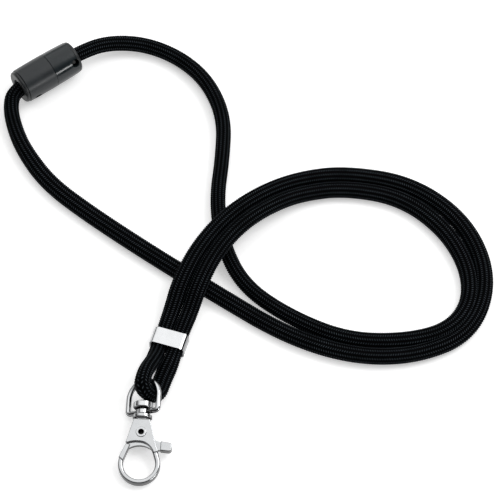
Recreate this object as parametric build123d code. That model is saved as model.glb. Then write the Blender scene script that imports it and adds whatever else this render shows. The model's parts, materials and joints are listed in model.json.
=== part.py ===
from build123d import *
import math
import os

# Neck lanyard: one braided cord with a two-half breakaway connector, a metal
# band that holds the two strands side by side, a D-ring, and a swivel snap hook.
#
# Millimetres. The origin is the centre of the band's flat underside, which lies
# on the same surface as the cord. +Z is up. +Y runs from the snap hook, past
# the band, towards the connector.

# ---- driving dimensions ----
CORD_D = 5.5
CORD_R = CORD_D / 2
CORD_FIT = 0.1  # radial clearance of the cord in a connector bore

# connector: a point on its axis where the two halves meet, and its heading
SEAM = (-43.5, 105.6, 6.2)
CONNECTOR_HEADING = 35.0  # degrees from +X towards +Y, from the plug half to the socket half
SEAM_R = 6.2
SOCKET_L = 10.6
SOCKET_END_R = 5.95
PLUG_L = 12.6
PLUG_END_R = 6.1
CAP_T = 1.3  # the part of an end cap that shows
CAP_STEP = 0.25  # how far the cap's edge lies inside the barrel's edge
CAP_GAP = 0.12  # fine joint line between the cap and the barrel
SPIGOT_R = 4.3
SPIGOT_L = 1.2
CORD_BORE_L = 6.0  # depth of the cord bore from the outer end
SNAP_R = 3.3  # throat of the socket
SNAP_DEPTH = 4.4
SNAP_FIT = 0.06
SNAP_GROOVE = 0.35
PIN_HOLE_R = 1.45
PIN_R = 0.75
SOCKET_PIN_FROM_END = 2.3
SOCKET_PIN_TURN = 55.0  # degrees about the connector's axis, from upright towards the snap hook
PLUG_PIN_FROM_END = 4.4
PLUG_PIN_TURN = 110.0
PIN_INSET = 1.6  # how far each pin end lies below the barrel's surface

# band that holds the two strands
BAND_W = 12.05
BAND_H = 6.55
BAND_L = 5.8
BAND_WALL = 0.45
BAND_CORNER = 1.9
BAND_TILT = 17.0  # degrees, its axis turned from -Y towards -X

# D-ring, swivel and snap hook share one long axis
SWIVEL = (-8.3, -26.7, 4.8)  # where the swivel's axis crosses the D-ring's bar
HOOK_TILT = 3.0  # degrees, the axis turned from -Y towards -X
HOOK_PITCH = 7.1  # degrees, the hook's end lower than the ring's arch
RING_ROLL = 33.0  # degrees, the ring's right side up
RING_WIRE_R = 0.9
RING_HALF_W = 6.0  # to the wire's centre
RING_LEG = 5.0
RING_CORNER = 1.05
RING_EYE_R = 1.95
RING_EYE_T = 1.8
SHANK_R = 1.2
SHANK_FIT = 0.06
HEAD_R = 3.25
HEAD_T = 2.2
HEAD_Y = 1.1
COLLAR_R = 3.25
COLLAR_TOP = -1.15
COLLAR_L = 1.3
NECK_R = 2.3
NECK_L = 0.5
BODY_T = 4.0
HOOK_T = 3.2
SLOT_T = 1.9
LEVER_T = 1.7
GATE_T = 3.0
PIVOT_Y = -7.5
PIVOT_R = 1.3
PIVOT_FIT = 0.05
RIVET_FLANGE_R = 1.75
RIVET_FLANGE_T = 0.3
RIVET_HOLLOW_R = 0.95
EYE_Y = -18.2  # centre of the hook's round end
EYE_R = 5.25
HOOK_OUT_R = 6.95
SPRING_R = 0.55
SPRING_WIRE_R = 0.12
SPRING_X = 1.6
SPRING_TOP = -3.4
SPRING_L = 1.6
SPRING_TURNS = 5

# each half's end radius, length, and its pin's place and turn; the plug half is built turned over
SOCKET_END = (SOCKET_END_R, SOCKET_L, SOCKET_PIN_FROM_END, SOCKET_PIN_TURN)
PLUG_END = (PLUG_END_R, PLUG_L, PLUG_PIN_FROM_END, -PLUG_PIN_TURN)

# ---- the cord's route, one closed run from the socket half to the plug half ----
# Its two ends run along the connector's axis, and it is straight through the band.
RIGHT_STRAND = [
    (-39.61, 108.32, 6.2), (-30.8, 114.49, 6.2), (-21, 118.6, 4.4), (-9, 118.4, 2.9),
    (3, 112.5, 2.8), (12.5, 102.5, 2.8), (18, 88, 2.8), (17.5, 72, 2.8), (15.5, 55, 2.8),
    (17.5, 38, 2.8), (23.5, 21, 2.8), (39, 9, 2.8), (59, 0.5, 2.8), (79, 0, 2.8), (94, 4.5, 2.8),
    (101.5, 15, 2.8), (101, 29, 2.8), (93, 44, 2.8), (79, 56, 2.8), (60, 60, 2.8), (45, 57.5, 3.4),
    (34, 51, 6.4), (23.5, 42, 8.8), (15, 31, 8.8), (9.5, 19.5, 8.6), (6.4, 10.3, 4.5),
    (4.27, 4.44, 3.28), (2.66, -0.81, 3.28),
]
BIGHT = [
    (2.66, -0.81, 3.28), (1.05, -6.07, 3.28), (-2.3, -12.8, 3), (-4.5, -20.4, 3.2),
    (-9, -20.2, 10), (-8.8, -12.8, 10), (-6.8, -8.6, 5.9), (-4.27, -4.44, 3.28),
    (-2.66, 0.81, 3.28),
]
LEFT_STRAND = [
    (-2.66, 0.81, 3.28), (-1.05, 6.07, 3.28), (1.2, 12.2, 4.5), (4.2, 21, 8.4), (10, 34, 8.8),
    (19.5, 46, 8.8), (31, 56, 6.4), (44, 63.2, 3.4), (60, 65.8, 2.8), (83, 61.5, 2.8),
    (101, 46, 2.8), (108, 24, 2.8), (101, 3.5, 2.8), (82, -5, 2.8), (61, -5, 2.8), (39, 3, 2.8),
    (16, 17.3, 2.8), (-8, 33.7, 2.8), (-29, 49.6, 2.8), (-42.5, 62, 2.8), (-46.75, 68.25, 2.8),
]
TAIL = [
    (-46.75, 68.25, 2.8), (-51, 74.5, 2.8), (-54.8, 83.5, 2.8), (-56.7, 91.5, 4),
    (-55.46, 97.23, 6.2), (-49.03, 101.73, 6.2),
]

# ---- frames ----
CONNECTOR = Location(SEAM) * Rot(0, 0, CONNECTOR_HEADING) * Rot(0, 90, 0)  # local +Z to the socket
HOOK = Location(SWIVEL) * Rot(0, 0, -HOOK_TILT) * Rot(HOOK_PITCH, 0, 0)
RING = HOOK * Rot(0, -RING_ROLL, 0)
BAND = Location((0, 0, BAND_H / 2)) * Rot(0, 0, -BAND_TILT)


def bend_radii(points):
    """One radius for each inner point: 0.45 of the shorter run, over the tangent of half the turn."""
    places = [Vector(*p) for p in points]
    radii = []
    for before, here, after in zip(places, places[1:], places[2:]):
        run_in = here - before
        run_out = after - here
        turn = math.radians(run_in.get_angle(run_out))
        radii.append(0.45 * min(run_in.length, run_out.length) / math.tan(turn / 2))
    return radii


def cord_tube(name, points):
    """A round tube along straight runs joined by arcs."""
    radii = bend_radii(points)
    path = FilletPolyline(*points, radius=radii)
    start = Plane(origin=path @ 0, z_dir=path % 0)
    tube = sweep(start * Circle(CORD_R), path=path)
    expected = math.pi * CORD_R**2 * path.length
    print(
        f"{name}: {path.length:.1f} mm, volume {tube.volume:.0f} of {expected:.0f} mm3, "
        f"radii {[round(r, 1) for r in radii]}"
    )
    return tube


def across(radius, length, at, turn):
    """A round bar through the connector's axis at height at, turned about it from local X."""
    return Pos(0, 0, at) * Rot(0, 0, turn) * Rot(0, 90, 0) * Cylinder(radius, length)


def barrel(seam_r, end_r, length):
    """The outside of one connector half, from the joint face at z = 0 to its end cap."""
    shell_l = length - CAP_T
    bulge = Plane.XZ * make_face(
        Wire(
            [
                Line((0, 0), (seam_r - 0.1, 0)),
                Line((seam_r - 0.1, 0), (seam_r, 0.12)),
                ThreePointArc(
                    (seam_r, 0.12),
                    ((seam_r + end_r) / 2 + 0.06, shell_l / 2),
                    (end_r, shell_l - 0.15),
                ),
                Line((end_r, shell_l - 0.15), (end_r - 0.15, shell_l)),
                Line((end_r - 0.15, shell_l), (0, shell_l)),
                Line((0, shell_l), (0, 0)),
            ]
        )
    )
    return revolve(bulge, axis=Axis.Z)


def connector_shell(seam_r, end_r, length, pin_from_end, pin_turn):
    """A half's barrel with its cord bore, the seat of its end cap, and its side hole."""
    shell_l = length - CAP_T
    bore = Pos(0, 0, length - CORD_BORE_L / 2) * Cylinder(CORD_R + CORD_FIT, CORD_BORE_L)
    seat = Pos(0, 0, shell_l - SPIGOT_L / 2) * Cylinder(SPIGOT_R + CAP_GAP, SPIGOT_L)
    side_hole = across(PIN_HOLE_R, 4 * seam_r, length - pin_from_end, pin_turn)
    return barrel(seam_r, end_r, length) - bore - seat - side_hole


def end_cap(end_r, length, pin_from_end, pin_turn):
    """A domed disc with a short spigot; the cord leaves through its flared bore."""
    disc = Pos(0, 0, length - (CAP_T - CAP_GAP) / 2) * Cylinder(end_r - CAP_STEP, CAP_T - CAP_GAP)
    disc = fillet(disc.edges().sort_by(Axis.Z)[-1], 0.8)
    spigot_l = SPIGOT_L - 0.1 + CAP_GAP  # ends 0.1 short of the bottom of its seat
    spigot = Pos(0, 0, length - CAP_T + CAP_GAP - spigot_l / 2) * Cylinder(SPIGOT_R, spigot_l)
    cap = disc + spigot
    cap -= Pos(0, 0, length - 2) * Cylinder(CORD_R + CORD_FIT, 6)
    mouth = cap.edges().filter_by(GeomType.CIRCLE).group_by(Axis.Z)[-1].sort_by(SortBy.RADIUS)[0]
    cap = fillet(mouth, 0.75)
    notch = across(PIN_HOLE_R, 4 * end_r, length - pin_from_end, pin_turn)
    return cap - notch


def cord_pin(end_r, length, pin_from_end, pin_turn):
    """The pin through the side hole that holds the cord's end."""
    pin = across(PIN_R, 2 * (end_r - PIN_INSET), length - pin_from_end, pin_turn)
    return chamfer(pin.edges().filter_by(GeomType.CIRCLE), 0.15)


def snap_socket():
    """The throat and groove in the socket half's joint face."""
    throat = Pos(0, 0, SNAP_DEPTH / 2) * Cylinder(SNAP_R, SNAP_DEPTH)
    groove = Pos(0, 0, SNAP_DEPTH - 1.1) * Cylinder(SNAP_R + SNAP_GROOVE, 1.2)
    return throat + groove


def snap_plug():
    """The slit, bead-ended boss that snaps into the socket."""
    radius = SNAP_R - SNAP_FIT
    boss = Pos(0, 0, 1.9) * Cylinder(radius - 0.3, 4.2)
    bead = Pos(0, 0, SNAP_DEPTH - 1.1) * Cylinder(radius, 1.0)
    bead = fillet(bead.edges().filter_by(GeomType.CIRCLE), 0.3)
    slit = Pos(0, 0, 2.4) * Box(0.9, 4 * radius, 3.8)
    hollow = Pos(0, 0, 2.4) * Cylinder(1.5, 3.8)
    return boss + bead - slit - hollow


def socket_half():
    shell = connector_shell(SEAM_R, *SOCKET_END) - snap_socket()
    return CONNECTOR * shell


def plug_half():
    shell = connector_shell(SEAM_R, *PLUG_END)
    gap = 0.12  # joint line between the two halves
    shell -= Pos(0, 0, gap / 2) * Cylinder(2 * SEAM_R, gap)
    whole = Rot(180, 0, 0) * shell + snap_plug()
    return CONNECTOR * whole


def strand_band():
    """A flattened sleeve round both strands, open at its two ends."""
    across_face = Plane.XZ
    outer = across_face * RectangleRounded(BAND_W, BAND_H, BAND_CORNER)
    inner_r = BAND_CORNER - BAND_WALL
    inner = across_face * RectangleRounded(BAND_W - 2 * BAND_WALL, BAND_H - 2 * BAND_WALL, inner_r)
    sleeve = extrude(outer - inner, amount=BAND_L / 2, both=True)
    return BAND * sleeve


def d_ring():
    """Round wire bent to a D, with a flat eye in its bar for the swivel."""
    half = RING_HALF_W
    corner = RING_CORNER
    bar = Line((half - corner, 0), (corner - half, 0))
    corner_a = TangentArc((corner - half, 0), (-half, corner), tangent=(-1, 0))
    leg_a = Line((-half, corner), (-half, RING_LEG))
    arch = ThreePointArc((-half, RING_LEG), (0, RING_LEG + half), (half, RING_LEG))
    leg_b = Line((half, RING_LEG), (half, corner))
    corner_b = TangentArc((half, corner), (half - corner, 0), tangent=(0, -1))
    path = Wire([bar, corner_a, leg_a, arch, leg_b, corner_b])
    section = Plane(origin=(half - corner, 0, 0), z_dir=(-1, 0, 0)) * Circle(RING_WIRE_R)
    ring = sweep(section, path=path)
    eye = Rot(90, 0, 0) * Cylinder(RING_EYE_R, RING_EYE_T)
    eye = fillet(eye.edges().filter_by(GeomType.CIRCLE), 0.35)
    hole = Rot(90, 0, 0) * Cylinder(SHANK_R + SHANK_FIT, 4 * RING_EYE_T)
    return RING * (ring + eye - hole)


def swivel_stud():
    """The headed stud that joins the D-ring to the snap hook."""
    head = Pos(0, HEAD_Y + HEAD_T / 2, 0) * Rot(90, 0, 0) * Cylinder(HEAD_R, HEAD_T)
    head = fillet(head.edges().filter_by(GeomType.CIRCLE), 0.45)
    shank_l = HEAD_Y - COLLAR_TOP + 1.4 + 0.5
    shank = Pos(0, HEAD_Y + 0.5 - shank_l / 2, 0) * Rot(90, 0, 0) * Cylinder(SHANK_R, shank_l)
    return HOOK * (head + shank)


def body_outline():
    """The plan of the body's two walls, with the arch over the hook's eye."""
    top = COLLAR_TOP - COLLAR_L - NECK_L
    return make_face(
        Wire(
            [
                Line((-2.7, top), (2.7, top)),
                Line((2.7, top), (4.9, -10.8)),
                Line((4.9, -10.8), (6.0, -14.0)),
                Line((6.0, -14.0), (4.5, -14.3)),
                ThreePointArc((4.5, -14.3), (2.9, -11.9), (-0.9, -10.6)),
                ThreePointArc((-0.9, -10.6), (-2.7, -10.75), (-4.3, -11.3)),
                Line((-4.3, -11.3), (-4.9, -11.1)),
                Line((-4.9, -11.1), (-2.7, top)),
            ]
        )
    )


def slab(face, thickness):
    """A flat piece of that thickness, half of it on each side of the face."""
    return extrude(face, amount=thickness / 2, both=True)


def hook_bar():
    """The hook: a bar of rounded section down the right side and round the eye."""
    mid_r = (EYE_R + HOOK_OUT_R) / 2
    lean = math.radians(19)  # where the straight limb meets the round end
    limb_l = 5.8
    low = Vector(mid_r * math.cos(lean), EYE_Y + mid_r * math.sin(lean))
    down = Vector(math.sin(lean), -math.cos(lean))
    high = low - down * limb_l
    tip_lift = math.radians(14)
    tip = Vector(-mid_r * math.cos(tip_lift), EYE_Y + mid_r * math.sin(tip_lift))
    path = Wire([Line(high, low), ThreePointArc(low, (0, EYE_Y - mid_r), tip)])
    start = Plane(origin=high, x_dir=(down.Y, -down.X, 0), z_dir=down)
    bar = sweep(start * RectangleRounded(HOOK_OUT_R - EYE_R, HOOK_T, 0.7), path=path)
    above_tip = make_face(Polyline((-4.4, -18.29), (-8.4, -15.13), (-8.4, -12), (-4.4, -12), close=True))
    return bar - slab(above_tip, 2 * HOOK_T)


def clasp_body():
    """The cast snap hook: collar, neck, slotted body and hook."""
    top = COLLAR_TOP - COLLAR_L - NECK_L
    walls = slab(body_outline(), BODY_T)
    walls = fillet(walls.faces().filter_by(Axis.Z).edges(), 0.25)
    slot = Pos(2, -9.1, 0) * Box(26, 9.6, SLOT_T)
    collar_mid = COLLAR_TOP - COLLAR_L / 2
    collar = Pos(0, collar_mid, 0) * Rot(90, 0, 0) * Cylinder(COLLAR_R, COLLAR_L)
    collar = fillet(collar.edges().filter_by(GeomType.CIRCLE), 0.3)
    neck_l = NECK_L + 0.8
    neck = Pos(0, top + NECK_L + 0.2 - neck_l / 2, 0) * Rot(90, 0, 0) * Cylinder(NECK_R, neck_l)
    neck = neck & Box(20, 20, BODY_T - 0.4)
    stud_hole = Pos(0, COLLAR_TOP, 0) * Rot(90, 0, 0) * Cylinder(SHANK_R, 2.8)
    pivot_hole = Pos(0, PIVOT_Y, 0) * Cylinder(PIVOT_R, 2 * BODY_T)
    pocket = Pos(SPRING_X, SPRING_TOP - 1, 0) * Rot(90, 0, 0) * Cylinder(SPRING_R + 0.2, 2)
    solid = walls + hook_bar() + neck + collar
    return HOOK * (solid - slot - stud_hole - pivot_hole - pocket)


def gate_lever():
    """The gate with its hub and thumb tab, in one piece."""
    web = make_face(
        Wire(
            [
                Line((-2.5, -6.2), (-4.5, -11.2)),
                Line((-4.5, -11.2), (-5.2, -13.0)),
                Line((-5.2, -13.0), (-3.9, -13.0)),
                ThreePointArc((-3.9, -13.0), (-0.4, -11.75), (3.2, -12.6)),
                Line((3.2, -12.6), (4.6, -13.2)),
                Line((4.6, -13.2), (8.6, -13.0)),
                Line((8.6, -13.0), (8.6, -11.2)),
                Line((8.6, -11.2), (4.9, -9.8)),
                Line((4.9, -9.8), (2.6, -6.4)),
                ThreePointArc((2.6, -6.4), (0.1, -4.75), (-2.5, -6.2)),
            ]
        )
    )
    bar = make_face(
        Polyline(
            (-4.75, -11.35), (-3.35, -11.75), (-5.35, -17.35), (-6.8, -16.2), (-6.75, -15.8), close=True
        )
    )
    tab = make_face(
        Polyline((6.6, -13.33), (10.4, -13.66), (10.4, -10.6), (6.6, -10.12), close=True)
    )
    tab = fillet(tab.vertices().sort_by(Axis.X)[-2:], 1.2)
    gate = slab(bar, GATE_T)
    gate = fillet(gate.faces().filter_by(Axis.Z).edges(), 0.3)
    thumb = slab(tab, GATE_T)
    thumb = fillet(thumb.faces().filter_by(Axis.Z).edges(), 0.35)
    hole = Pos(0, PIVOT_Y, 0) * Cylinder(PIVOT_R + PIVOT_FIT, 2 * BODY_T)
    return HOOK * (slab(web, LEVER_T) + gate + thumb - hole)


def gate_rivet():
    """A hollow rivet through both walls of the body."""
    length = BODY_T + 2 * RIVET_FLANGE_T
    shank = Cylinder(PIVOT_R, length)
    flange_at = BODY_T / 2 + RIVET_FLANGE_T / 2
    front = Pos(0, 0, flange_at) * Cylinder(RIVET_FLANGE_R, RIVET_FLANGE_T)
    back = Pos(0, 0, -flange_at) * Cylinder(RIVET_FLANGE_R, RIVET_FLANGE_T)
    rivet = shank + front + back
    outer_rims = rivet.edges().filter_by(GeomType.CIRCLE).sort_by(Axis.Z)
    rivet = fillet([outer_rims[0], outer_rims[-1]], 0.2)
    hollow = Cylinder(RIVET_HOLLOW_R, 2 * length)
    return HOOK * Pos(0, PIVOT_Y, 0) * (rivet - hollow)


def gate_spring():
    """The small coil spring between the body's pocket and the lever's shoulder."""
    pitch = (SPRING_L - 2 * SPRING_WIRE_R) / SPRING_TURNS
    coil = Helix(pitch=pitch, height=pitch * SPRING_TURNS, radius=SPRING_R)
    start = Plane(origin=coil @ 0, z_dir=coil % 0)
    wire = sweep(start * Circle(SPRING_WIRE_R), path=coil, is_frenet=True)
    at = Pos(SPRING_X, SPRING_TOP - 0.15, 0) * Rot(90, 0, 0)
    return HOOK * at * wire


def pin_clearance(at, turn):
    """A hole through the cord for a pin at that height and turn on the connector's axis."""
    return CONNECTOR * across(PIN_R + 0.03, 4 * SEAM_R, at, turn)


def main():
    os.makedirs("parts", exist_ok=True)
    plug_side = CONNECTOR * Rot(180, 0, 0)
    nodes = {
        "cord_right": cord_tube("cord_right", RIGHT_STRAND)
        - pin_clearance(SOCKET_L - SOCKET_PIN_FROM_END, SOCKET_PIN_TURN),
        "cord_bight": cord_tube("cord_bight", BIGHT),
        "cord_left": cord_tube("cord_left", LEFT_STRAND),
        "cord_tail": cord_tube("cord_tail", TAIL)
        - pin_clearance(PLUG_PIN_FROM_END - PLUG_L, PLUG_PIN_TURN),
        "socket_half": socket_half(),
        "socket_end_cap": CONNECTOR * end_cap(*SOCKET_END),
        "socket_cord_pin": CONNECTOR * cord_pin(*SOCKET_END),
        "plug_half": plug_half(),
        "plug_end_cap": plug_side * end_cap(*PLUG_END),
        "plug_cord_pin": plug_side * cord_pin(*PLUG_END),
        "strand_band": strand_band(),
        "d_ring": d_ring(),
        "swivel_stud": swivel_stud(),
        "clasp_body": clasp_body(),
        "gate_lever": gate_lever(),
        "gate_rivet": gate_rivet(),
        "gate_spring": gate_spring(),
    }
    for name, shape in nodes.items():
        export_step(shape, f"parts/{name}.step")


main()
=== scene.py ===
"""A neck lanyard laid out on a pale table: braided cord, breakaway connector,
strand band, D-ring and swivel snap hook. Metres, in the CAD's frame."""
import json
import math

import bpy
import numpy as np
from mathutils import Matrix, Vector


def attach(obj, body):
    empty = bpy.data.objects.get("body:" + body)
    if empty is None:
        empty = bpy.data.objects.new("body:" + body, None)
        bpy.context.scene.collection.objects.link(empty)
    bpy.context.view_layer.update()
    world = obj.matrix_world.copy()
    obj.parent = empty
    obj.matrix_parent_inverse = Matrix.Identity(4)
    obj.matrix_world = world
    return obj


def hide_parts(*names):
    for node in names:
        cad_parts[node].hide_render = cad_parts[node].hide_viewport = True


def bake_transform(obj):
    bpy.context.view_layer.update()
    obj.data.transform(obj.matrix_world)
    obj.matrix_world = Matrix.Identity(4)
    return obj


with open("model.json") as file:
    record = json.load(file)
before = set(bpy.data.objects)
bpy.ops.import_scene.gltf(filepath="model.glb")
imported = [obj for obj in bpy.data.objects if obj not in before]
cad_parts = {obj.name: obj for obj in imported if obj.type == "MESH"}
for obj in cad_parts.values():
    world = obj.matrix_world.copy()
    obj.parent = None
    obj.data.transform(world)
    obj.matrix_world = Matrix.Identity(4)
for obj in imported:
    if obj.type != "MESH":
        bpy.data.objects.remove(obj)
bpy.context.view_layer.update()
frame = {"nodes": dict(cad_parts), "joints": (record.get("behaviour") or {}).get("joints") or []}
scene = bpy.context.scene
UP = np.array([0.0, 0.0, 1.0])

# ---- camera ----
LOOK_AT = Vector((0.027, 0.037, 0.0))
ELEVATION = math.radians(61)
DISTANCE = 1.0
LENS_MM = 210.96


def add_camera():
    data = bpy.data.cameras.new("camera")
    data.lens = LENS_MM
    data.sensor_width = 36
    camera = bpy.data.objects.new("camera", data)
    back = Vector((0, -math.cos(ELEVATION), math.sin(ELEVATION)))
    camera.location = LOOK_AT + back * DISTANCE
    camera.rotation_euler = (math.pi / 2 - ELEVATION, 0, 0)
    scene.collection.objects.link(camera)
    scene.camera = camera


add_camera()

# ---- the cord's route, in four runs that meet end to end ----
RIGHT_STRAND = [
    (-0.03961, 0.10832, 0.0062), (-0.0308, 0.11449, 0.0062), (-0.021, 0.1186, 0.0044),
    (-0.009, 0.1184, 0.0029), (0.003, 0.1125, 0.0028), (0.0125, 0.1025, 0.0028),
    (0.018, 0.088, 0.0028), (0.0175, 0.072, 0.0028), (0.0155, 0.055, 0.0028),
    (0.0175, 0.038, 0.0028), (0.0245, 0.0218, 0.0028), (0.0396, 0.01, 0.0028),
    (0.059, 0.001, 0.0028), (0.079, 0.0005, 0.0028), (0.094, 0.0048, 0.0028),
    (0.1014, 0.015, 0.0028), (0.1012, 0.0292, 0.0028), (0.0934, 0.0443, 0.0028),
    (0.0792, 0.0563, 0.0028), (0.06, 0.06, 0.0028), (0.045, 0.0575, 0.0034),
    (0.034, 0.051, 0.0064), (0.0235, 0.042, 0.0088), (0.015, 0.031, 0.0088),
    (0.0098, 0.0194, 0.0086), (0.0066, 0.0103, 0.0045), (0.00427, 0.00444, 0.00328),
    (0.00266, -0.00081, 0.00328),
]
BIGHT = [
    (0.00266, -0.00081, 0.00328), (0.00125, -0.00607, 0.00328), (-0.0017, -0.0128, 0.003),
    (-0.004, -0.0206, 0.0032), (-0.0089, -0.0205, 0.01), (-0.0078, -0.0146, 0.01),
    (-0.0056, -0.0093, 0.0066), (-0.0044, -0.0051, 0.0038), (-0.00354, -0.00206, 0.00328),
    (-0.00266, 0.00081, 0.00328),
]
LEFT_STRAND = [
    (-0.00266, 0.00081, 0.00328), (-0.00105, 0.00607, 0.00328), (0.001, 0.0122, 0.0045),
    (0.0039, 0.0211, 0.0084), (0.01, 0.034, 0.0088), (0.0195, 0.046, 0.0088),
    (0.031, 0.056, 0.0064), (0.044, 0.0632, 0.0034), (0.06, 0.0658, 0.0028),
    (0.083, 0.0615, 0.0028), (0.101, 0.046, 0.0028), (0.108, 0.024, 0.0028),
    (0.101, 0.0035, 0.0028), (0.082, -0.005, 0.0028), (0.061, -0.005, 0.0028),
    (0.039, 0.003, 0.0028), (0.0163, 0.0182, 0.0028), (-0.0077, 0.0348, 0.0028),
    (-0.0288, 0.0504, 0.0028), (-0.0425, 0.062, 0.0028), (-0.04675, 0.06825, 0.0028),
]
TAIL = [
    (-0.04675, 0.06825, 0.0028), (-0.051, 0.0745, 0.0028), (-0.0548, 0.0835, 0.0028),
    (-0.0567, 0.0915, 0.004), (-0.05546, 0.09723, 0.0062), (-0.04903, 0.10173, 0.0062),
]
CORD_D = 0.0055
FLOOR_LINE = 0.0028  # height of the cord's middle where it lies on the table

# width of the soft braid along each run: (share of its length, metres)
RIGHT_WIDTHS = [
    (0, 0.0053), (0.06, 0.0057), (0.14, 0.0055), (0.25, 0.0053), (0.38, 0.0054),
    (0.45, 0.0058), (0.53, 0.0061), (0.62, 0.0063), (0.71, 0.0065), (0.78, 0.006),
    (0.85, 0.0057), (0.95, 0.0062), (0.985, 0.0057), (1, 0.0053),
]
BIGHT_WIDTHS = [
    (0, 0.0053), (0.07, 0.0054), (0.2, 0.0066), (0.4, 0.0064), (0.6, 0.0066), (0.82, 0.0068),
    (0.93, 0.0054), (1, 0.0053),
]
LEFT_WIDTHS = [
    (0, 0.0053), (0.015, 0.0057), (0.05, 0.0062), (0.16, 0.0059), (0.22, 0.0059), (0.32, 0.0065),
    (0.42, 0.0064), (0.52, 0.006), (0.6, 0.0059), (0.72, 0.0062),
    (0.8, 0.0065), (0.94, 0.0065), (1, 0.0063),
]
TAIL_WIDTHS = [(0, 0.0063), (0.3, 0.0058), (0.6, 0.0055), (1, 0.0053)]

# ---- braid: twelve wales of slanted stitches round the cord ----
WALES = 12
STEPS_PER_WALE = 4
ROWS_PER_STITCH = 4
STITCH = 0.0008  # pitch along the cord
SLANT = 0.85  # pitches that a stitch rises across its wale
RELIEF = 0.0003  # depth of the stitches
SECTION_KEPT = 0.985  # share of the round section's area that a flattened braid keeps
FLOOR_GAP = 0.00005  # between the braid and the table


def cord_line(points):
    """The smooth line that a route's points control, as an array of places."""
    curve = bpy.data.curves.new("route", "CURVE")
    curve.dimensions = "3D"
    curve.resolution_u = 32
    spline = curve.splines.new("NURBS")
    spline.points.add(len(points) - 1)
    for control, place in zip(spline.points, points):
        control.co = (*place, 1)
    spline.order_u = 3
    spline.use_endpoint_u = True
    route = bpy.data.objects.new("route", curve)
    mesh = bpy.data.meshes.new_from_object(route)
    line = np.array([vertex.co[:] for vertex in mesh.vertices])
    bpy.data.objects.remove(route)
    bpy.data.meshes.remove(mesh)
    bpy.data.curves.remove(curve)
    return line


def unit(vectors):
    return vectors / np.linalg.norm(vectors, axis=-1, keepdims=True)


def carried_up(tangents):
    """An up direction carried along the line without twist, from straight up."""
    up = UP - tangents[0] * (UP @ tangents[0])
    ups = []
    for tangent in tangents:
        up = up - tangent * (up @ tangent)
        up = up / np.linalg.norm(up)
        ups.append(up)
    return np.array(ups)


class Line:
    """Places, directions and up directions by distance along a cord's line."""

    def __init__(self, points, steep):
        self.points = cord_line(points)
        runs = np.linalg.norm(np.diff(self.points, axis=0), axis=1)
        self.distances = np.concatenate([[0], np.cumsum(runs)])
        self.length = float(self.distances[-1])
        self.tangents = unit(np.gradient(self.points, self.distances, axis=0))
        if steep:
            self.ups = carried_up(self.tangents)
        else:
            self.ups = unit(UP - self.tangents * (self.tangents @ UP)[:, None])

    def read(self, values, at):
        return np.stack([np.interp(at, self.distances, values[:, k]) for k in range(3)], axis=-1)

    def at(self, distance):
        """Places, tangents and ups; the line runs on straight past its two ends."""
        inside = np.clip(distance, 0, self.length)
        tangents = unit(self.read(self.tangents, inside))
        ups = self.read(self.ups, inside)
        ups = unit(ups - tangents * np.sum(ups * tangents, axis=-1, keepdims=True))
        places = self.read(self.points, inside) + tangents * (distance - inside)[..., None]
        return places, tangents, ups


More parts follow.
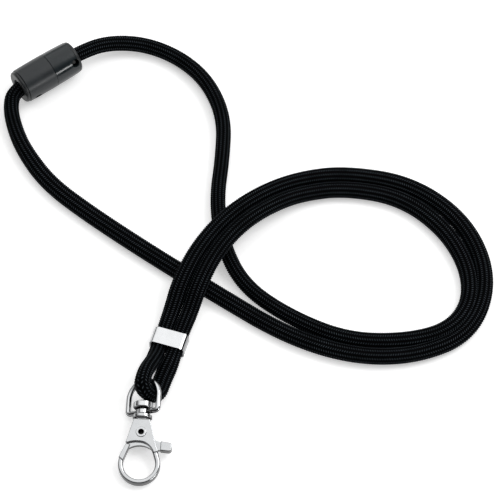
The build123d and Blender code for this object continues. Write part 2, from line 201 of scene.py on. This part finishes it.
def braided_cord(name, points, widths, swell=1.0, steep=False):
    """A mesh tube with a braid's raised stitches; its rows of vertices follow the stitches.

    Where it is wider it is flatter, and swell is how much a tight bend opens the braid."""
    line = Line(points, steep)
    stitches = round(line.length / STITCH)
    pitch = line.length / stitches
    rows = stitches * ROWS_PER_STITCH + 1
    around = WALES * STEPS_PER_WALE
    step = np.arange(around)
    wale = step // STEPS_PER_WALE
    across = (step % STEPS_PER_WALE) / STEPS_PER_WALE
    lean = np.where(wale % 2 == 0, 1, -1)
    zigzag = -lean * SLANT * (across - 0.5)  # in pitches
    row = np.arange(rows)[:, None] / ROWS_PER_STITCH
    distance = (row + zigzag[None]) * pitch
    places, tangents, ups = line.at(distance)
    sides = np.cross(tangents, ups)

    share = np.clip(distance / line.length, 0, 1)
    width = np.interp(share, [s for s, _ in widths], [w for _, w in widths])
    height = np.minimum(CORD_D, SECTION_KEPT * swell * CORD_D**2 / width)
    drop = FLOOR_LINE - FLOOR_GAP - height / 2
    angle = 2 * math.pi * step / around
    cosine, sine = np.cos(angle), np.sin(angle)
    outward = sides * (cosine / width)[..., None] + ups * (sine / height)[..., None]
    outward = unit(outward)

    stitch_phase = row + np.where(wale % 2 == 0, 0.0, 0.5)[None]
    crown = np.abs(np.sin(math.pi * stitch_phase)) ** 0.7
    tuck = (4 * across * (1 - across)) ** 0.4
    relief = crown * (0.25 + 0.75 * tuck)[None]
    radius_x = (width / 2)[..., None] * cosine[..., None] * sides
    radius_y = (height / 2)[..., None] * sine[..., None] * ups
    surface = places + radius_x + radius_y + outward * ((relief - 1) * RELIEF)[..., None]
    surface[..., 2] -= drop
    vertices = surface.reshape(-1, 3)

    index = np.arange(rows * around).reshape(rows, around)
    after = np.roll(index, -1, axis=1)
    faces = np.stack([index[:-1], after[:-1], after[1:], index[1:]], axis=-1).reshape(-1, 4)
    mesh = bpy.data.meshes.new(name)
    ends = [list(map(int, index[0, ::-1])), list(map(int, index[-1]))]
    mesh.from_pydata(vertices.tolist(), [], faces.tolist() + ends)
    mesh.shade_smooth()

    yarn = mesh.uv_layers.new(name="yarn")
    columns = np.tile(np.arange(around), rows - 1)
    bands = np.repeat(np.arange(rows - 1), around)
    corner_step = np.array([0, 1, 1, 0])
    corner_row = np.array([0, 0, 1, 1])
    u = (columns[:, None] % STEPS_PER_WALE + corner_step) / STEPS_PER_WALE
    face_wale = columns // STEPS_PER_WALE
    stitch = (bands + ROWS_PER_STITCH // 2 * (face_wale % 2)) // ROWS_PER_STITCH
    u = u + (3 * face_wale + 29 * (stitch % 7))[:, None]
    v = (bands[:, None] + corner_row) / ROWS_PER_STITCH
    body = np.stack([u, v], axis=-1).reshape(-1, 2)
    caps = np.zeros((2 * around, 2))
    yarn.data.foreach_set("uv", np.concatenate([body, caps]).astype(np.float32).ravel())
    ridge = mesh.attributes.new("ridge", "FLOAT", "POINT")
    ridge.data.foreach_set("value", relief.astype(np.float32).ravel())

    piece = bpy.data.objects.new(name, mesh)
    scene.collection.objects.link(piece)
    return piece, line


right_strand, right_line = braided_cord("right_strand", RIGHT_STRAND, RIGHT_WIDTHS)
bight, bight_line = braided_cord("bight", BIGHT, BIGHT_WIDTHS, swell=1.2, steep=True)
left_strand, left_line = braided_cord("left_strand", LEFT_STRAND, LEFT_WIDTHS)
tail, tail_line = braided_cord("tail", TAIL, TAIL_WIDTHS)
RUNS = [
    (right_strand, right_line, "cord_right"),
    (bight, bight_line, "cord_bight"),
    (left_strand, left_line, "cord_left"),
    (tail, tail_line, "cord_tail"),
]
for piece, line, node in RUNS:
    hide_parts(node)
for piece in (right_strand, bight, left_strand):
    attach(piece, "strap")


# ---- materials ----
def new_material(name):
    material = bpy.data.materials.new(name)
    material.use_nodes = True
    nodes = material.node_tree.nodes
    return material, nodes, material.node_tree.links, nodes["Principled BSDF"]


def set_inputs(node, **values):
    for name, value in values.items():
        node.inputs[name.replace("_", " ")].default_value = value


def object_noise(nodes, links, scale, detail=3.0, roughness=0.5, stretch=None):
    """Noise in the object's own coordinates, in metres; stretch scales each axis."""
    where = nodes.new("ShaderNodeTexCoord")
    noise = nodes.new("ShaderNodeTexNoise")
    set_inputs(noise, Scale=scale, Detail=detail, Roughness=roughness)
    if stretch:
        mapping = nodes.new("ShaderNodeMapping")
        mapping.inputs["Scale"].default_value = stretch
        links.new(where.outputs["Object"], mapping.inputs["Vector"])
        links.new(mapping.outputs["Vector"], noise.inputs["Vector"])
    else:
        links.new(where.outputs["Object"], noise.inputs["Vector"])
    return noise.outputs["Fac"]


def ramp(nodes, links, value, stops):
    """A colour ramp with (place, colour) stops."""
    node = nodes.new("ShaderNodeValToRGB")
    elements = node.color_ramp.elements
    while len(elements) < len(stops):
        elements.new(0.5)
    for element, (place, colour) in zip(elements, stops):
        element.position = place
        element.color = (*colour, 1)
    links.new(value, node.inputs["Fac"])
    return node.outputs["Color"]


def spread(nodes, links, value, low, high):
    """The value's middle range mapped to low..high."""
    node = nodes.new("ShaderNodeMapRange")
    set_inputs(node, From_Min=0.3, From_Max=0.7, To_Min=low, To_Max=high)
    links.new(value, node.inputs["Value"])
    return node.outputs["Result"]


def bump(nodes, links, height, strength, distance, under=None):
    node = nodes.new("ShaderNodeBump")
    set_inputs(node, Strength=strength, Distance=distance)
    links.new(height, node.inputs["Height"])
    if under:
        links.new(under, node.inputs["Normal"])
    return node.outputs["Normal"]


def tinted(nodes, links, base, factor, blend="MULTIPLY"):
    """base multiplied by a grey factor."""
    node = nodes.new("ShaderNodeMix")
    node.data_type = "RGBA"
    node.blend_type = blend
    node.inputs[0].default_value = 1
    links.new(base, node.inputs[6])
    links.new(factor, node.inputs[7])
    return node.outputs[2]


def braid_material():
    """Black polyester yarn with fine filaments along each stitch; painted shade between the stitches
    and painted highlights on their crowns.
    """
    material, nodes, links, shader = new_material("braid")
    ridge = nodes.new("ShaderNodeAttribute")
    ridge.attribute_name = "ridge"
    yarn = nodes.new("ShaderNodeUVMap")
    yarn.uv_map = "yarn"
    mapping = nodes.new("ShaderNodeMapping")
    mapping.inputs["Scale"].default_value = (1.3, 9, 1)
    links.new(yarn.outputs["UV"], mapping.inputs["Vector"])
    filaments = nodes.new("ShaderNodeTexNoise")
    set_inputs(filaments, Scale=1.6, Detail=2.0, Roughness=0.6)
    links.new(mapping.outputs["Vector"], filaments.inputs["Vector"])
    # painted shade in the valleys between stitches, painted highlights on the stitch crowns
    painted_stitch_light = ramp(
        nodes, links, ridge.outputs["Fac"],
        [
            (0.45, (0.0001, 0.0002, 0.0003)), (0.72, (0.0009, 0.0013, 0.0018)),
            (0.87, (0.007, 0.01, 0.0125)), (0.98, (0.085, 0.098, 0.11)),
        ],
    )
    thread = ramp(nodes, links, filaments.outputs["Fac"], [(0.3, (0.45,) * 3), (0.7, (1.35,) * 3)])
    cloudy = ramp(
        nodes, links, object_noise(nodes, links, 160, 3), [(0.3, (0.75,) * 3), (0.7, (1.2,) * 3)]
    )
    colour = tinted(nodes, links, tinted(nodes, links, painted_stitch_light, thread), cloudy)
    links.new(colour, shader.inputs["Base Color"])
    links.new(spread(nodes, links, filaments.outputs["Fac"], 0.5, 0.72), shader.inputs["Roughness"])
    set_inputs(shader, Specular_IOR_Level=0.02, Sheen_Weight=0.004, Sheen_Roughness=0.45)
    shader.inputs["Sheen Tint"].default_value = (0.8, 0.88, 1, 1)
    normal = bump(nodes, links, filaments.outputs["Fac"], 0.5, 0.00006)
    links.new(normal, shader.inputs["Normal"])
    return material


def plastic_material(name, colour, roughness):
    """Moulded plastic with a fine spark-eroded grain and faint handling marks."""
    material, nodes, links, shader = new_material(name)
    cloud = object_noise(nodes, links, 260, 3)
    grain = object_noise(nodes, links, 5200, 2)
    low = tuple(0.88 * c for c in colour)
    high = tuple(1.12 * c for c in colour)
    links.new(ramp(nodes, links, cloud, [(0.35, low), (0.65, high)]), shader.inputs["Base Color"])
    links.new(
        spread(nodes, links, cloud, roughness - 0.04, roughness + 0.05), shader.inputs["Roughness"]
    )
    set_inputs(shader, Specular_IOR_Level=0.42)
    links.new(bump(nodes, links, grain, 0.16, 0.00005), shader.inputs["Normal"])
    return material


def painted_wall_shade(nodes, links, side):
    """1 on the flat faces, falling to side on the walls: painted shade for the dark surroundings that
    the walls reflect.
    """
    where = nodes.new("ShaderNodeTexCoord")
    parts = nodes.new("ShaderNodeSeparateXYZ")
    links.new(where.outputs["Normal"], parts.inputs[0])
    flatness = nodes.new("ShaderNodeMath")
    flatness.operation = "ABSOLUTE"
    links.new(parts.outputs["Z"], flatness.inputs[0])
    fall = nodes.new("ShaderNodeMapRange")
    set_inputs(fall, From_Min=0.3, From_Max=0.8, To_Min=side, To_Max=1)
    links.new(flatness.outputs[0], fall.inputs["Value"])
    return fall.outputs["Result"]


def plated_material(name, colour, roughness, waviness, side):
    """Bright plating: slight waves in the casting, hairline marks, a few duller spots, and painted
    shade on the walls.
    """
    material, nodes, links, shader = new_material(name)
    shader.inputs["Metallic"].default_value = 1
    cloud = object_noise(nodes, links, 330, 4)
    hairlines = object_noise(nodes, links, 900, 2, 0.5, (1, 0.12, 1))
    wave = object_noise(nodes, links, 420, 2)
    low = tuple(0.93 * c for c in colour)
    plating = ramp(nodes, links, cloud, [(0.3, low), (0.7, colour)])
    # painted shade: walls darker than the flat faces, for the dark surroundings they reflect
    shade = painted_wall_shade(nodes, links, side)
    links.new(tinted(nodes, links, plating, shade), shader.inputs["Base Color"])
    links.new(
        spread(nodes, links, hairlines, roughness - 0.04, roughness + 0.07), shader.inputs["Roughness"]
    )
    soft = bump(nodes, links, wave, waviness, 0.0002)
    links.new(bump(nodes, links, hairlines, 0.05, 0.00004, soft), shader.inputs["Normal"])
    return material


def paint_bore_shade(material, joint, radius):
    """Painted shade inside a bore along a joint's axis: dark up to its rim."""
    nodes, links = material.node_tree.nodes, material.node_tree.links
    shader = nodes["Principled BSDF"]
    where = nodes.new("ShaderNodeTexCoord")
    offset = nodes.new("ShaderNodeVectorMath")
    offset.operation = "SUBTRACT"
    offset.inputs[1].default_value = joint["pos_m"]
    links.new(where.outputs["Object"], offset.inputs[0])
    turned = nodes.new("ShaderNodeVectorMath")
    turned.operation = "CROSS_PRODUCT"
    turned.inputs[1].default_value = joint["axis"]
    links.new(offset.outputs["Vector"], turned.inputs[0])
    reach = nodes.new("ShaderNodeVectorMath")
    reach.operation = "LENGTH"
    links.new(turned.outputs["Vector"], reach.inputs[0])
    rim = nodes.new("ShaderNodeMapRange")
    set_inputs(rim, From_Min=1.02 * radius, From_Max=1.1 * radius, To_Min=0.004, To_Max=1)
    links.new(reach.outputs["Value"], rim.inputs["Value"])
    plating = shader.inputs["Base Color"].links[0].from_socket
    # the plating's colour darkened inside the bore: painted shade
    links.new(tinted(nodes, links, plating, rim.outputs["Result"]), shader.inputs["Base Color"])


BRAID = braid_material()
SOCKET_PLASTIC = plastic_material("socket_plastic", (0.011, 0.0155, 0.018), 0.17)
PLUG_PLASTIC = plastic_material("plug_plastic", (0.014, 0.0175, 0.02), 0.36)
CAP_PLASTIC = plastic_material("cap_plastic", (0.011, 0.013, 0.0145), 0.38)
PIN_PLASTIC = plastic_material("pin_plastic", (0.006, 0.006, 0.0065), 0.5)
BAND_METAL = plated_material("band_plating", (0.7, 0.71, 0.72), 0.12, 0.03, 0.3)
HOOK_METAL = plated_material("hook_plating", (0.56, 0.57, 0.58), 0.14, 0.06, 0.12)
RING_METAL = plated_material("ring_plating", (0.66, 0.67, 0.68), 0.1, 0.02, 0.16)
SPRING_METAL = plated_material("spring_steel", (0.5, 0.5, 0.51), 0.3, 0.02, 0.5)
RIVET_METAL = plated_material("rivet_plating", (0.6, 0.61, 0.62), 0.12, 0.02, 0.12)
GATE_JOINT = next(joint for joint in frame["joints"] if joint["name"] == "gate")
paint_bore_shade(RIVET_METAL, GATE_JOINT, 0.00095)

for piece, _, _ in RUNS:
    piece.data.materials.append(BRAID)
NODE_MATERIALS = {
    "socket_half": SOCKET_PLASTIC,
    "plug_half": PLUG_PLASTIC,
    "socket_end_cap": CAP_PLASTIC,
    "plug_end_cap": CAP_PLASTIC,
    "socket_cord_pin": PIN_PLASTIC,
    "plug_cord_pin": PIN_PLASTIC,
    "strand_band": BAND_METAL,
    "d_ring": RING_METAL,
    "swivel_stud": RING_METAL,
    "clasp_body": HOOK_METAL,
    "gate_lever": HOOK_METAL,
    "gate_rivet": RIVET_METAL,
    "gate_spring": SPRING_METAL,
}
for node, material in NODE_MATERIALS.items():
    for material_slot in frame["nodes"][node].material_slots:
        material_slot.material = material


# ---- a near-black plug deep in the rivet's bore, put there as painted shade; shaped like the broken-off end of a steel core ----
SHADE_PLUG_PROFILE = [  # distance from the rivet's axis, and along it
    (0.0, 0.00075), (0.00035, 0.00072), (0.0006, 0.0006), (0.00084, 0.00035), (0.00093, 0.0001),
    (0.00093, -0.001), (0.0007, -0.0012), (0.0, -0.0013),
]
SHADE_PLUG_SIDES = 40


def turned_piece(name, profile, sides, place, axis):
    """A turned solid whose profile starts and ends on its axis."""
    along = Vector(axis).normalized()
    out = along.orthogonal().normalized()
    other = along.cross(out)
    vertices = [Vector(place) + along * profile[0][1]]
    for reach, height in profile[1:-1]:
        for k in range(sides):
            turn = 2 * math.pi * k / sides
            rim = out * math.cos(turn) + other * math.sin(turn)
            vertices.append(Vector(place) + rim * reach + along * height)
    vertices.append(Vector(place) + along * profile[-1][1])
    rings = len(profile) - 2
    last = len(vertices) - 1
    faces = []
    for k in range(sides):
        after = (k + 1) % sides
        faces.append((0, 1 + k, 1 + after))
        for ring in range(rings - 1):
            upper, lower = 1 + ring * sides, 1 + (ring + 1) * sides
            faces.append((upper + k, lower + k, lower + after, upper + after))
        bottom = 1 + (rings - 1) * sides
        faces.append((bottom + k, last, bottom + after))
    mesh = bpy.data.meshes.new(name)
    mesh.from_pydata(vertices, [], faces)
    mesh.shade_smooth()
    piece = bpy.data.objects.new(name, mesh)
    scene.collection.objects.link(piece)
    return piece


bore_shade_plug = turned_piece(
    "bore_shade_plug", SHADE_PLUG_PROFILE, SHADE_PLUG_SIDES, GATE_JOINT["pos_m"], GATE_JOINT["axis"]
)
bore_shade_plug.data.materials.append(PIN_PLASTIC)
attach(bore_shade_plug, "clasp")


# ---- table and light ----
def add_table():
    material, nodes, links, shader = new_material("table")
    shade = ramp(
        nodes, links, object_noise(nodes, links, 3, 2), [(0.3, (0.9,) * 3), (0.7, (0.92,) * 3)]
    )
    links.new(shade, shader.inputs["Base Color"])
    set_inputs(shader, Roughness=0.9, Specular_IOR_Level=0.1, Emission_Strength=0.42)
    mesh = bpy.data.meshes.new("table")
    half = 3.0
    corners = [(-half, -half, 0), (half, -half, 0), (half, half, 0), (-half, half, 0)]
    mesh.from_pydata(corners, [], [(0, 1, 2, 3)])
    mesh.materials.append(material)
    table = bpy.data.objects.new("table", mesh)
    scene.collection.objects.link(table)


def add_softbox(name, place, aim, size, watts):
    data = bpy.data.lights.new(name, "AREA")
    data.shape = "RECTANGLE"
    data.size, data.size_y = size
    data.energy = watts
    box = bpy.data.objects.new(name, data)
    box.location = place
    box.rotation_euler = (Vector(aim) - Vector(place)).to_track_quat("-Z", "Y").to_euler()
    scene.collection.objects.link(box)


def add_world():
    """A light tent that leans away from the camera: bright overhead, dark low down."""
    world = bpy.data.worlds.new("studio")
    world.use_nodes = True
    nodes, links = world.node_tree.nodes, world.node_tree.links
    where = nodes.new("ShaderNodeTexCoord")
    height = nodes.new("ShaderNodeVectorMath")
    height.operation = "DOT_PRODUCT"
    height.inputs[1].default_value = (0, math.sin(TENT_LEAN), math.cos(TENT_LEAN))
    links.new(where.outputs["Generated"], height.inputs[0])
    stops = [
        (0.0, (0.012,) * 3), (0.38, (0.03,) * 3), (0.6, (0.4,) * 3), (0.8, (0.9,) * 3), (1, (1,) * 3),
    ]
    links.new(ramp(nodes, links, height.outputs["Value"], stops), nodes["Background"].inputs["Color"])
    nodes["Background"].inputs["Strength"].default_value = 1.3
    scene.world = world


MIDDLE = (0.02, 0.03, 0)
TENT_LEAN = math.radians(27)
add_table()
add_world()
add_softbox("key", (0.8, 0.35, 0.95), MIDDLE, (0.6, 0.6), 5)
add_softbox("front", (0.85, -0.62, 0.3), MIDDLE, (0.5, 0.14), 3)
scene.view_settings.view_transform = "Standard"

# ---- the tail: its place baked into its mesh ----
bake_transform(tail)
